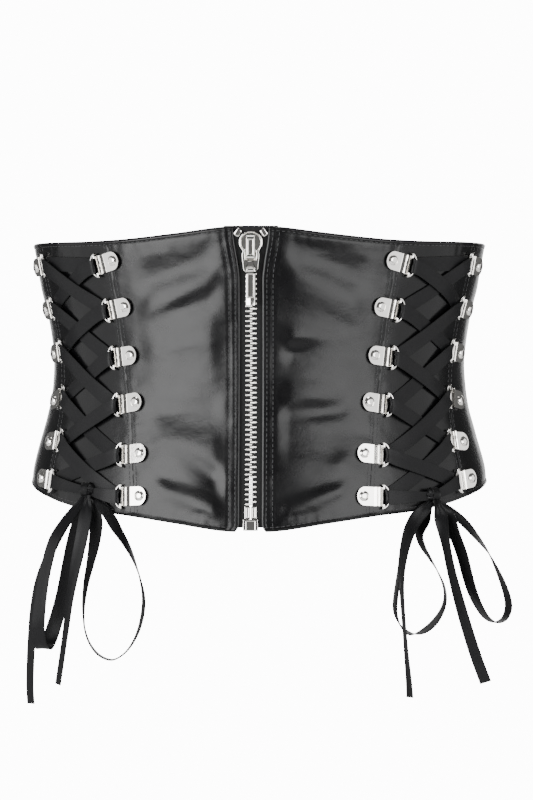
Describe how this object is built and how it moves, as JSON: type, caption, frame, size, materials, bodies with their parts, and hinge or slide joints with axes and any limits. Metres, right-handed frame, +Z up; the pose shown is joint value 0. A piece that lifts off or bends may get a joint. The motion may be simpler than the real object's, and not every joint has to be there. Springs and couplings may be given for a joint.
{
  "type": "corset belt",
  "caption": "Wide black leather waist belt that closes with a metal front zip, with ribbon lacing through D-rings and a bow at each side.",
  "frame": {"origin": "centre of the waist hollow at its narrowest height, where the belt sits on the wearer's waist", "axes": "+Z up along the wearer's body, -Y to the front with the zip, +X to the right as seen from the front"},
  "size_m": [0.301, 0.214, 0.2922],
  "materials": {
    "black_leather": "glossy wrinkled black leather",
    "zip_tape": "woven black tape",
    "zip_metal": "bright nickel",
    "lacing_metal": "bright nickel",
    "satin_ribbon": "black satin"
  },
  "bodies": {
    "belt": {"front_panel_left": "black_leather", "front_panel_right": "black_leather", "side_panel_left": "black_leather", "side_panel_right": "black_leather", "back_panel": "black_leather", "zip_tape_left": "zip_tape", "zip_tape_right": "zip_tape", "zip_teeth_left": "zip_metal", "zip_teeth_right": "zip_metal", "zip_pin_left": "zip_metal", "zip_pin_right": "zip_metal", "zip_box": "zip_metal", "zip_top_stop_left": "zip_metal", "zip_top_stop_right": "zip_metal", "zip_slider": "zip_metal", "lacing_ring_left_front_1": "lacing_metal", "lacing_ring_left_front_2": "lacing_metal", "lacing_ring_left_front_3": "lacing_metal", "lacing_ring_left_front_4": "lacing_metal", "lacing_ring_left_front_5": "lacing_metal", "lacing_ring_left_front_6": "lacing_metal", "lacing_ring_left_back_1": "lacing_metal", "lacing_ring_left_back_2": "lacing_metal", "lacing_ring_left_back_3": "lacing_metal", "lacing_ring_left_back_4": "lacing_metal", "lacing_ring_left_back_5": "lacing_metal", "lacing_ring_left_back_6": "lacing_metal", "lacing_ring_right_front_1": "lacing_metal", "lacing_ring_right_front_2": "lacing_metal", "lacing_ring_right_front_3": "lacing_metal", "lacing_ring_right_front_4": "lacing_metal", "lacing_ring_right_front_5": "lacing_metal", "lacing_ring_right_front_6": "lacing_metal", "lacing_ring_right_back_1": "lacing_metal", "lacing_ring_right_back_2": "lacing_metal", "lacing_ring_right_back_3": "lacing_metal", "lacing_ring_right_back_4": "lacing_metal", "lacing_ring_right_back_5": "lacing_metal", "lacing_ring_right_back_6": "lacing_metal", "lacing_ribbon_left": "satin_ribbon", "lacing_ribbon_right": "satin_ribbon", "left_bow_knot": "satin_ribbon", "left_bow_loop_outer": "satin_ribbon", "left_bow_loop_inner": "satin_ribbon", "left_bow_tail_outer": "satin_ribbon", "left_bow_tail_inner": "satin_ribbon", "right_bow_knot": "satin_ribbon", "right_bow_loop_inner": "satin_ribbon", "right_bow_loop_outer": "satin_ribbon", "right_bow_tail_inner": "satin_ribbon", "right_bow_tail_outer": "satin_ribbon"},
    "link": {"pull_link": "zip_metal"},
    "tab": {"pull_tab": "zip_metal"}
  },
  "joints": [
    {"name": "pull_link_hinge", "type": "hinge", "parent": "belt", "child": "link", "pos_m": [0, -0.10229, 0.06759], "axis": [-1, 0, 0], "range_deg": [0, 155]},
    {"name": "pull_tab_hinge", "type": "hinge", "parent": "link", "child": "tab", "pos_m": [0, -0.10229, 0.05469], "axis": [-1, 0, 0], "range_deg": [-5, 90]}
  ]
}
